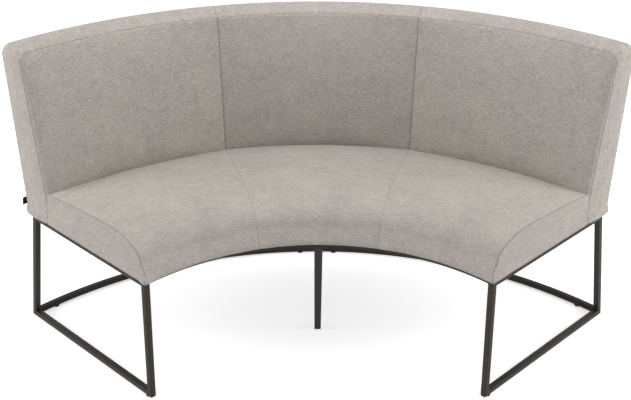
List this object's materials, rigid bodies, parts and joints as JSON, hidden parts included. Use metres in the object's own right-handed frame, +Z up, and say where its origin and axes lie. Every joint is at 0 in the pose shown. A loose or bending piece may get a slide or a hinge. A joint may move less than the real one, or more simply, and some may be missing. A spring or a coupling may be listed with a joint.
{
  "type": "upholstered banquette bench",
  "caption": "Curved banquette bench with an upholstered seat and back in panelled woven fabric on a square steel tube frame with closed end loops.",
  "frame": {"origin": "on the floor, under the middle of the bench's box", "axes": "+X to the right of someone who faces the seat from the front, +Y from the open front of the arc towards the back, +Z up"},
  "size_m": [1.8168, 0.818, 0.9268],
  "materials": {
    "frame_metal": "satin powder coat, dark bronze grey",
    "glide_plastic": "matt moulded plastic",
    "zinc_steel": "zinc plated",
    "dust_cloth": "thin non-woven cloth",
    "plywood": "sanded birch plywood",
    "webbing": "elastic woven strap",
    "foam": "open-cell seating foam",
    "seat_fabric": "heathered woven upholstery cloth with fine slubs",
    "back_fabric": "heathered woven upholstery cloth with fine slubs",
    "tag_cloth": "blank black woven tape"
  },
  "bodies": {
    "root": {"front_rail": "frame_metal", "rear_top_rail": "frame_metal", "rear_floor_rail": "frame_metal", "left_cross_rail": "frame_metal", "right_cross_rail": "frame_metal", "left_front_leg": "frame_metal", "right_front_leg": "frame_metal", "left_rear_leg": "frame_metal", "right_rear_leg": "frame_metal", "left_top_rail": "frame_metal", "right_top_rail": "frame_metal", "left_floor_runner": "frame_metal", "right_floor_runner": "frame_metal", "centre_leg": "frame_metal", "centre_leg_cap": "glide_plastic", "floor_glides": "glide_plastic", "screw_tabs": "frame_metal", "seat_screws": "zinc_steel", "back_bolts": "zinc_steel", "dust_cover": "dust_cloth", "seat_front_board": "plywood", "seat_rear_board": "plywood", "left_seat_end_board": "plywood", "right_seat_end_board": "plywood", "left_seat_cross_board": "plywood", "right_seat_cross_board": "plywood", "seat_webbing": "webbing", "left_seat_foam": "foam", "centre_seat_foam": "foam", "right_seat_foam": "foam", "left_seat_cover": "seat_fabric", "centre_seat_cover": "seat_fabric", "right_seat_cover": "seat_fabric", "left_seat_end_panel": "seat_fabric", "right_seat_end_panel": "seat_fabric", "back_bottom_rail": "plywood", "back_top_rail": "plywood", "left_end_post": "plywood", "right_end_post": "plywood", "left_seam_post": "plywood", "right_seam_post": "plywood", "left_back_board": "plywood", "centre_back_board": "plywood", "right_back_board": "plywood", "back_top_pad": "foam", "left_back_foam": "foam", "centre_back_foam": "foam", "right_back_foam": "foam", "left_back_cover": "back_fabric", "centre_back_cover": "back_fabric", "right_back_cover": "back_fabric", "left_back_band": "back_fabric", "centre_back_band": "back_fabric", "right_back_band": "back_fabric", "left_outer_back": "back_fabric", "centre_outer_back": "back_fabric", "right_outer_back": "back_fabric", "side_tag": "tag_cloth"}
  },
  "joints": []
}
